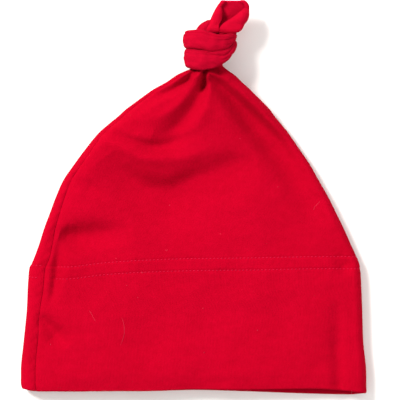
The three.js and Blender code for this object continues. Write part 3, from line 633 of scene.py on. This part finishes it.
def sewing_drop(points, normals, angle, up):
    """How far the sewing pulls the cloth in, beside the seams and at the rows of stitches."""
    lengths = grid_lengths(points, 1)
    from_seam = np.minimum(lengths, lengths[:, [-1]] - lengths)
    above = stitch_distance(angle, up)
    groove = sum(bell(above + below, GROOVE_WIDTH) for below in (0, STITCH_ROWS_APART))
    wander = 2 * np.sin(lengths / PUCKER_WANDER)
    pucker = 0.5 + 0.5 * np.cos(2 * math.pi * lengths / PUCKER_PITCH + wander)
    near_rows = bell(above + STITCH_ROWS_APART / 2, PUCKER_REACH)
    step = HEM_STEP * soft_step(above, HEM_STEP_WIDTH)
    seam_wave = np.sin(2 * math.pi * points[..., 1] / SEAM_PUCKER_PITCH + from_seam)
    drop = (
        SEAM_SINK * np.exp(-((from_seam / SEAM_WIDTH) ** SEAM_SHARPNESS))
        + SEAM_DIP * bell(from_seam, SEAM_DIP_WIDTH)
        + SEAM_PUCKER * bell(from_seam, SEAM_PUCKER_REACH) * seam_wave
        + STITCH_GROOVE * groove
        + PUCKER_DEPTH * pucker * near_rows
        + step
    )
    under = (np.cos(angle) < 0) & (normals[..., 2] < LYING_FLAT)
    return np.where(under, np.maximum(drop - step, 0), drop)


def panel_grid(span, rows, columns):
    """One panel's outer face from the mouth to the neck, sunk beside its seams and under its stitches."""
    up = [0.0]
    for end, row_share in PANEL_ROWS:
        up.extend(np.linspace(up[-1], end, int(rows * row_share))[1:])
    up = np.array(up)
    share = np.linspace(0, 1, columns)
    ease = 0.5 - 0.5 * np.cos(math.pi * share)
    share = mix(share, ease, EDGE_CROWDING)
    start, end = span(up)
    angle = mix(start[:, None], end[:, None], share[None, :])
    up = np.broadcast_to(up[:, None], angle.shape)
    points = body_surface(angle, up)
    normals = grid_normals(points)
    drop = sewing_drop(points, normals, angle, up)
    return points - normals * drop[..., None], normals, angle, up


def make_panel(name, node, grid, material):
    outer, normals, angle, up = grid
    above = stitch_distance(angle, up)
    thickness = CLOTH * (1 + soft_step(-above - LAYER_END, LAYER_END_WIDTH))
    curl_rows = []
    for degrees in LIP_TURNS:
        turn = math.radians(degrees)
        inward = normals[0] * CLOTH * (1 - math.cos(turn))
        upward = np.array([0, CLOTH * (1 - math.sin(turn)), 0])
        curl_rows.append(outer[0] - inward + upward)
    curl_outer = np.stack(curl_rows)
    outer = outer.copy()
    outer[..., 1] += CLOTH * np.clip(1 - up / LIP_SHARE, 0, 1)
    inner = outer - normals * thickness[..., None]
    middle = outer[0] - normals[0] * CLOTH
    from_middle = ((curl_outer - middle) * normals[0]).sum(axis=-1, keepdims=True)
    curl_inner = curl_outer - 2 * from_middle * normals[0]
    outer = np.concatenate([curl_outer, outer])
    inner = np.concatenate([curl_inner, inner])
    piece = closed_sheet(name, outer, inner, material)
    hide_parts(node)


def superellipse(angle, power):
    c = np.cos(angle)
    s = np.sin(angle)
    return np.sign(c) * np.abs(c) ** (2 / power), np.sign(s) * np.abs(s) ** (2 / power)


def closed_tube(name, rings, material):
    """A closed solid through rings of points, with a fan over each end."""
    count, sides = rings.shape[:2]
    hubs = np.stack([rings[0].mean(axis=0), rings[-1].mean(axis=0)])
    points = np.concatenate([rings.reshape(-1, 3), hubs])
    faces = grid_faces(count, sides, 0, around=True).tolist()
    first = count * sides
    last = (count - 1) * sides
    for c in range(sides):
        following = (c + 1) % sides
        faces.append([following, c, first])
        faces.append([last + c, last + following, first + 1])
    closed = np.concatenate([rings, rings[:, :1]], axis=1)
    u = grid_lengths(closed, 1)[:, :-1]
    v = grid_lengths(rings, 0)
    cloth_map = np.stack([u, v], axis=-1).reshape(-1, 2)
    cloth_map = np.concatenate([cloth_map, [[0, 0], [0, 0]]])
    return new_mesh(name, points, faces, cloth_map, material)


def turn_creases(turn, across, half_width):
    """How deep the creases are, by degrees round the core and place across the turn from -1 to 1."""
    total = np.zeros((len(turn), len(across)))
    for start, end, from_across, to_across, depth, width in TURN_CREASES:
        share = (turn - start) / (end - start)
        within = np.clip(np.minimum(share, 1 - share) / CREASE_FADE, 0, 1)
        line = mix(from_across, to_across, np.clip(share, 0, 1))
        off = (across[None, :] - line[:, None]) * half_width[:, None]
        total += depth * within[:, None] * bell(off, width)
    return total


def make_turns(material):
    steps, sides = TURN_GRID
    turn = np.linspace(TURN_SECTIONS[0, 0], TURN_SECTIONS[-1, 0], steps)
    angle = np.radians(180 - turn)
    place = np.arange(steps)
    to_end = np.minimum(place, steps - 1 - place) / (steps * TURN_END_SHARE)
    ends = mix(TURN_END_SIZE, 1, np.sqrt(np.clip(to_end, 0, 1)))
    up, width, out = follow(TURN_SECTIONS, turn)
    half_width = width * KNOT_LENGTH / 2 * ends
    half_thick = TURN_THICKNESS / 2 * ends
    radius_x = KNOT_WIDTH / 2 * out - TURN_THICKNESS / 2
    radius_z = KNOT_DEPTH / 2 * out - TURN_THICKNESS / 2
    centre = np.stack([
        KNOT_OFFSET + radius_x * np.cos(angle),
        BODY_HEIGHT + up * KNOT_LENGTH,
        KNOT_MIDDLE + radius_z * np.sin(angle),
    ], axis=-1)
    outward = np.stack([np.cos(angle) * radius_z, np.zeros(steps), np.sin(angle) * radius_x], axis=-1)
    outward /= np.linalg.norm(outward, axis=-1, keepdims=True)
    u, v = superellipse(full_turn(sides), TURN_FLATNESS)
    slack_x = turn[:, None] * TURN_SLACK["along"]
    slack_y = u[None, :] * half_width[:, None] * TURN_SLACK["across"]
    slack = TURN_SLACK["height"] * ripples(slack_x, slack_y, TURN_SLACK["length"], TURN_SLACK["seed"])
    dent_along = bell(turn - TURN_DENT["turn"], TURN_DENT["turn_width"])
    dent_across = bell(u - TURN_DENT["across"], TURN_DENT["across_width"])
    dent = TURN_DENT["depth"] * dent_along[:, None] * dent_across[None, :]
    outside = np.clip(v[None, :] + CREASE_SIDE, 0, 1)
    pressed = turn_creases(turn, u, half_width) + dent - slack
    thick = half_thick[:, None] * v[None, :] - pressed * outside
    across = (half_width[:, None] * u[None, :])[..., None] * np.array([0, 1.0, 0])
    rings = centre[:, None, :] + across + outward[:, None, :] * thick[..., None]
    piece = closed_tube("knot_band", rings, material)
    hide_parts("knot_turns")


def make_core(material):
    steps, sides = CORE_GRID
    up = np.linspace(CORE_SECTIONS[0, 0], CORE_SECTIONS[-1, 0], steps)
    around = full_turn(sides)
    u, v = superellipse(-around, CORE_FLATNESS)
    middle, half, level, deep = (column[:, None] for column in follow(CORE_SECTIONS, up))
    sway = PLEAT_TWIST * np.sin(up[:, None] * PLEAT_WAVES)
    pleat = 1 + PLEAT_DEPTH * np.cos(PLEATS * around[None, :] + sway)
    x = middle + half * u[None, :] * pleat
    z = level + deep * v[None, :] * pleat
    reach = np.maximum(np.hypot(x, z), 1e-6)
    shrink = np.minimum(1, CORE_FILL / reach)
    y = np.broadcast_to(up[:, None], x.shape)
    rings = np.stack([
        KNOT_OFFSET + x * shrink * CORE_HALF_WIDTH,
        BODY_HEIGHT + y * KNOT_LENGTH,
        KNOT_MIDDLE + z * shrink * CORE_HALF_DEPTH,
    ], axis=-1)
    piece = closed_tube("knot_strand", rings, material)
    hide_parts("knot_core")


def tail_place(share):
    return KNOT_OFFSET + share * TAIL_WIDTH


def tail_height(share):
    return TAIL_RISE + share * TAIL_DEPTH


def tail_side(edge, top, fold, floor, sign):
    """One side of a section of the free end: the bend at its edge, then the flap that lies on top."""
    half = TAIL_CLOTH / 2
    room = (abs(edge - fold) - half) / BEND_ROOM
    radius = max(TIGHTEST_BEND, min((top - floor) / 2, room))
    turn = np.radians(np.linspace(-90, 90, BEND_POINTS))
    bend_x = edge - sign * (half + radius) + sign * radius * np.cos(turn)
    bend_z = floor + radius + radius * np.sin(turn)
    flap_start = bend_x[-1]
    flap_end = sign * min(sign * fold, sign * flap_start - FLAP_LEAST)
    share = np.linspace(0, 1, FLAP_POINTS)[1:]
    flap_x = mix(flap_start, flap_end, share)
    flap_z = floor + 2 * radius * (1 - FLAP_DROOP * share ** FLAP_CURL)
    return np.column_stack([np.concatenate([bend_x, flap_x]), np.concatenate([bend_z, flap_z])])


def tail_profile(row, columns):
    """The middle line of one section of the free end."""
    left, left_fold, right_fold, right, low, left_top, right_top = row
    half = TAIL_CLOTH / 2
    floor = tail_height(low) + half
    left_height = tail_height(left_top) - half
    right_height = tail_height(right_top) - half
    left_side = tail_side(tail_place(left), left_height, tail_place(left_fold), floor, -1)
    right_side = tail_side(tail_place(right), right_height, tail_place(right_fold), floor, 1)
    middle_x = np.linspace(left_side[0, 0], right_side[0, 0], FLOOR_POINTS)[1:-1]
    middle = np.column_stack([middle_x, np.full_like(middle_x, floor)])
    whole = np.concatenate([left_side[::-1], middle, right_side])
    steps = np.linalg.norm(np.diff(whole, axis=0), axis=1)
    lengths = np.concatenate([[0], np.cumsum(steps)])
    at = np.linspace(0, lengths[-1], columns)
    smooth = np.column_stack([np.interp(at, lengths, whole[:, k]) for k in range(2)])
    for _ in range(2):
        smooth[1:-1] = (smooth[:-2] + 2 * smooth[1:-1] + smooth[2:]) / 4
    return smooth


def make_tail(material):
    stations, columns = TAIL_GRID
    up = np.linspace(TAIL_SECTIONS[0, 0], 1.0, stations)
    table = np.stack(follow(TAIL_SECTIONS, up), axis=-1)
    profiles = np.stack([tail_profile(row, columns) for row in table])
    y = BODY_HEIGHT + KNOT_LENGTH + up * TAIL_LENGTH
    y = np.broadcast_to(y[:, None], profiles.shape[:2])
    points = np.stack([profiles[..., 0], y, profiles[..., 1]], axis=-1)
    points[..., 2] += ripples(points[..., 0], points[..., 1], TAIL_WAVE, TAIL_WAVE_SEED) * TAIL_SLACK
    normals = grid_normals(points)
    tip = np.clip((1.0 - up) / TIP_SHARE, 0, 1)
    half = (TAIL_CLOTH / 2 * np.sqrt(1 - (1 - tip) ** 2 * TIP_THINNING))[:, None, None]
    outer = points - normals * half
    inner = points + normals * half
    piece = closed_sheet("knot_free_end", inner, outer, material)
    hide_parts("knot_tail")


def small_rod(line, radius, sides):
    """A rod with rounded ends along a line, as points and faces."""
    line = np.asarray(line)
    way = np.gradient(line, axis=0)
    way /= np.linalg.norm(way, axis=1, keepdims=True)
    side = np.cross(way, (0, 0, 1.0))
    side /= np.maximum(np.linalg.norm(side, axis=1, keepdims=True), 1e-9)
    over = np.cross(side, way)
    share = np.linspace(-1, 1, len(line))
    taper = np.sqrt(np.clip(1 - np.abs(share) ** 5, 0.1, 1)) * radius
    turn = full_turn(sides)
    ring = side[:, None] * np.cos(turn)[None, :, None] + over[:, None] * np.sin(turn)[None, :, None]
    points = line[:, None] + ring * taper[:, None, None]
    faces = grid_faces(len(line), sides, 0, around=True).tolist()
    last = (len(line) - 1) * sides
    faces.append(list(range(sides))[::-1])
    faces.append([last + k for k in range(sides)])
    return points.reshape(-1, 3), faces


def join_rods(name, rods, material):
    points = []
    faces = []
    total = 0
    for rod_points, rod_faces in rods:
        points.append(rod_points)
        faces.extend([[k + total for k in face] for face in rod_faces])
        total += len(rod_points)
    points = np.concatenate(points)
    new_mesh(name, points, faces, points[:, :2], material)


def stitch_lines(outer, angle, up, below):
    """The stitches of one row over a panel, as short lines on its surface."""
    above = stitch_distance(angle, up) + below
    path = []
    for c in range(angle.shape[1]):
        row = np.argmax(above[:, c] > 0)
        a = above[row - 1, c]
        b = above[row, c]
        path.append(mix(outer[row - 1, c], outer[row, c], -a / (b - a)))
    path = np.array(path)
    steps = np.linalg.norm(np.diff(path, axis=0), axis=1)
    lengths = np.concatenate([[0], np.cumsum(steps)])
    lines = []
    start = FIRST_STITCH
    while start + STITCH_PITCH < lengths[-1] - LAST_STITCH:
        at = np.linspace(start, start + STITCH_LENGTH, STITCH_GRID[0])
        lines.append(np.column_stack([np.interp(at, lengths, path[:, k]) for k in range(3)]))
        start += STITCH_PITCH
    return lines


def make_stitches(panels, material):
    points, sides = STITCH_GRID
    arch = np.sin(np.linspace(0, math.pi, points))
    rise = THREAD_RADIUS * (STITCH_ARCH * arch - STITCH_SINK)
    tilt = np.array([0, STITCH_TILT, 0]) * np.linspace(-1, 1, points)[:, None]
    rods = []
    for outer, normals, angle, up in panels:
        for below in (0, STITCH_ROWS_APART):
            for line in stitch_lines(outer, angle, up, below):
                row = np.argmin(np.abs(up[:, 0] - line[0, 1] / BODY_HEIGHT))
                column = np.argmin(np.linalg.norm(outer[row] - line[points // 2], axis=1))
                lift = normals[row, column] * rise[:, None]
                rods.append(small_rod(line + lift + tilt, THREAD_RADIUS, sides))
    join_rods("hem_stitches", rods, material)


def front_point(x, y):
    up = y / BODY_HEIGHT
    s = body_section(up)
    angle = np.arcsin(np.clip((x - s["middle"]) / s["half"], -1, 1))
    return body_surface(np.array([angle]), np.array([up]))[0]


def lint_rod(route, radius, sides):
    """A fibre that lies on the front, as points and faces."""
    points = np.array([front_point(x, y) for x, y in route])
    points[:, 2] += np.where(points[:, 1] > HEM_DEPTH, LINT_ON_BODY, LINT_ON_HEM)
    return small_rod(points, radius, sides)


def make_lint(material):
    rods = []
    fibre_points, fibre_sides = FIBRE_GRID
    for route in FIBRES:
        line, _ = smooth_route(route, fibre_points)
        rods.append(lint_rod(line, FIBRE_RADIUS, fibre_sides))
    speck_points, speck_sides = SPECK_GRID
    reach = np.linspace(-SPECK_REACH, SPECK_REACH, speck_points)
    for x, y in SPECKS:
        turn = random.uniform(0, math.pi)
        line = np.column_stack([x + reach * math.cos(turn), y + reach * math.sin(turn)])
        rods.append(lint_rod(line, SPECK_RADIUS, speck_sides))
    join_rods("lint", rods, material)


class Nodes:
    """Short ways to add and join a material's nodes."""

    def __init__(self, name):
        self.material = bpy.data.materials.new(name)
        self.material.use_nodes = True
        self.tree = self.material.node_tree
        self.shader = self.tree.nodes["Principled BSDF"]
        self.place = self.tree.nodes.new("ShaderNodeTexCoord").outputs["Object"]

    def add(self, kind, **inputs):
        node = self.tree.nodes.new(kind)
        for name, value in inputs.items():
            node.inputs[name].default_value = value
        return node

    def join(self, source, target):
        self.tree.links.new(source, target)

    def noise(self, scale, detail=2.0, roughness=0.5):
        node = self.add("ShaderNodeTexNoise", Scale=scale, Detail=detail, Roughness=roughness)
        self.join(self.place, node.inputs["Vector"])
        return node.outputs[0]

    def math(self, what, a, b=None):
        node = self.tree.nodes.new("ShaderNodeMath")
        node.operation = what
        for socket, value in zip(node.inputs, (a, b)):
            if value is None:
                continue
            if isinstance(value, (int, float)):
                socket.default_value = value
            else:
                self.join(value, socket)
        return node.outputs[0]

    def ramp(self, value, low, high, dark, light):
        node = self.tree.nodes.new("ShaderNodeMapRange")
        node.data_type = "FLOAT"
        self.join(value, node.inputs["Value"])
        for name, number in (("From Min", low), ("From Max", high), ("To Min", dark), ("To Max", light)):
            node.inputs[name].default_value = number
        return node.outputs["Result"]

    def colour(self, share, dark, light):
        """Colours the surface between two colours, by a share from 0 to 1."""
        blend = self.tree.nodes.new("ShaderNodeMix")
        blend.data_type = "RGBA"
        self.join(share, blend.inputs["Factor"])
        blend.inputs["A"].default_value = (*dark, 1)
        blend.inputs["B"].default_value = (*light, 1)
        self.join(blend.outputs["Result"], self.shader.inputs["Base Color"])

    def bump(self, height, strength, distance):
        node = self.add("ShaderNodeBump", Strength=strength, Distance=distance)
        self.join(height, node.inputs["Height"])
        self.join(node.outputs[0], self.shader.inputs["Normal"])

    def surface(self, values):
        for name, value in values.items():
            self.shader.inputs[name].default_value = value


def jersey_material(name, reds, knit):
    """Fine cotton jersey: columns of knitted loops, a mottled dye and a soft fuzz."""
    n = Nodes(name)
    cloth = n.tree.nodes.new("ShaderNodeUVMap")
    cloth.uv_map = "cloth"
    parts = n.add("ShaderNodeSeparateXYZ")
    n.join(cloth.outputs["UV"], parts.inputs[0])
    shift = n.math("MULTIPLY", n.math("SUBTRACT", n.noise(WOBBLE_SCALE), 0.5), 0.5)
    wale = n.math("FRACT", n.math("ADD", n.math("DIVIDE", parts.outputs["X"], WALE_PITCH), shift))
    centred = n.math("SUBTRACT", wale, 0.5)
    slant = n.math("ABSOLUTE", centred)
    course = n.math("FRACT", n.math("ADD", n.math("DIVIDE", parts.outputs["Y"], COURSE_PITCH), slant))
    along_loop = n.math("SINE", n.math("MULTIPLY", course, math.pi))
    across_loop = n.math("COSINE", n.math("MULTIPLY", centred, math.pi))
    loop = n.math("MULTIPLY", along_loop, across_loop)
    fuzz = n.noise(FUZZ_SCALE, detail=4.0, roughness=0.65)
    mottle = n.noise(MOTTLE_SCALE, detail=5.0, roughness=0.6)
    patches = n.noise(PATCH_SCALE, detail=3.0)
    height = n.math("ADD", n.math("MULTIPLY", loop, knit), n.math("MULTIPLY", fuzz, 0.9))
    n.bump(n.math("ADD", height, mottle), 0.75, JERSEY_BUMP)
    share = n.math("ADD", n.math("MULTIPLY", mottle, 0.55), n.math("MULTIPLY", loop, 0.3 * knit))
    share = n.math("ADD", share, n.math("MULTIPLY", patches, 0.3))
    n.colour(n.ramp(share, 0.25, 0.85, 0.0, 1.0), *reds)
    n.join(n.ramp(fuzz, 0.3, 0.7, 0.82, 0.97), n.shader.inputs["Roughness"])
    n.surface({"Specular IOR Level": 0.01, "Sheen Weight": 0.02, "Sheen Roughness": 0.45})
    n.surface({"Sheen Tint": SHEEN_TINT})
    return n.material


def thread_material():
    """Sewing thread: two plies twisted together, a little brighter than the cloth."""
    n = Nodes("thread")
    twist = n.add("ShaderNodeTexWave", Scale=TWIST_SCALE, Distortion=1.5)
    twist.bands_direction = "DIAGONAL"
    n.join(n.place, twist.inputs["Vector"])
    n.colour(n.noise(THREAD_TONE_SCALE), *THREAD_REDS)
    n.bump(twist.outputs["Fac"], 0.4, THREAD_BUMP)
    n.surface({"Roughness": 0.9, "Specular IOR Level": 0.04})
    return n.material


def lint_material():
    """Pale cotton fibre with a little red light through it."""
    n = Nodes("lint")
    n.colour(n.noise(LINT_TONE_SCALE), *LINT_PINKS)
    n.surface({"Roughness": 0.9, "Specular IOR Level": 0.02})
    return n.material


def floor_material():
    n = Nodes("floor")
    n.colour(n.noise(GRAIN_SCALE, detail=3.0), *FLOOR_WHITES)
    n.surface({"Roughness": 0.9, "Specular IOR Level": 0.1})
    return n.material


def add_camera():
    """Straight above the hat, far enough for hardly any perspective."""
    view = bpy.data.cameras.new("camera")
    view.sensor_width = CAMERA_SENSOR
    view.lens = CAMERA_LENS
    view.clip_end = CAMERA_FAR
    camera = bpy.data.objects.new("camera", view)
    camera.location = (CAMERA_X * MM, (CAMERA_Y - FOOTPRINT_MIDDLE_Y) * MM, CAMERA_HEIGHT)
    bpy.context.scene.collection.objects.link(camera)
    bpy.context.scene.camera = camera


def add_light(name, toward, distance, size, power, tint):
    """A soft square lamp that looks at the hat from a direction."""
    lamp = bpy.data.lights.new(name, "AREA")
    lamp.size = size
    lamp.energy = power
    lamp.color = tint
    light = bpy.data.objects.new(name, lamp)
    way = np.array(toward) / np.linalg.norm(toward)
    light.location = way * distance
    tilt = math.acos(way[2])
    heading = math.atan2(way[1], way[0])
    light.rotation_euler = (0, tilt, heading)
    bpy.context.scene.collection.objects.link(light)


def add_stage():
    mesh = bpy.data.meshes.new("floor")
    ways = ((-1, -1), (1, -1), (1, 1), (-1, 1))
    corners = [(x * FLOOR_REACH, y * FLOOR_REACH, FLOOR_LEVEL) for x, y in ways]
    mesh.from_pydata(corners, [], [(0, 1, 2, 3)])
    mesh.materials.append(floor_material())
    floor = bpy.data.objects.new("floor", mesh)
    bpy.context.scene.collection.objects.link(floor)
    world = bpy.data.worlds.new("studio")
    world.use_nodes = True
    sky = world.node_tree.nodes["Background"]
    sky.inputs["Color"].default_value = SKY_TINT
    sky.inputs["Strength"].default_value = SKY_STRENGTH
    bpy.context.scene.world = world
    bpy.context.scene.view_settings.view_transform = "Standard"
    add_light("key", **KEY)
    add_light("fill", **FILL)


add_camera()
add_stage()
jersey = jersey_material("jersey", BODY_REDS, knit=0.6)
# The knot's copy of the jersey is painted a little darker than the body's: painted shade
shaded_knot_jersey = jersey_material("jersey_knot_painted_shade", KNOT_SHADED_REDS, knit=0.7)
# The free end's copy of the jersey is painted lighter than the knot's: painted light
lit_end_jersey = jersey_material("jersey_end_painted_light", END_LIT_REDS, knit=0.7)

front_grid = panel_grid(front_span, *FRONT_GRID)
back_grid = panel_grid(back_span, *BACK_GRID)
make_panel("front_cloth", "front_panel", front_grid, jersey)
make_panel("back_cloth", "back_panel", back_grid, jersey)
make_turns(shaded_knot_jersey)
make_core(shaded_knot_jersey)
make_tail(lit_end_jersey)
make_stitches((front_grid, back_grid), thread_material())
make_lint(lint_material())
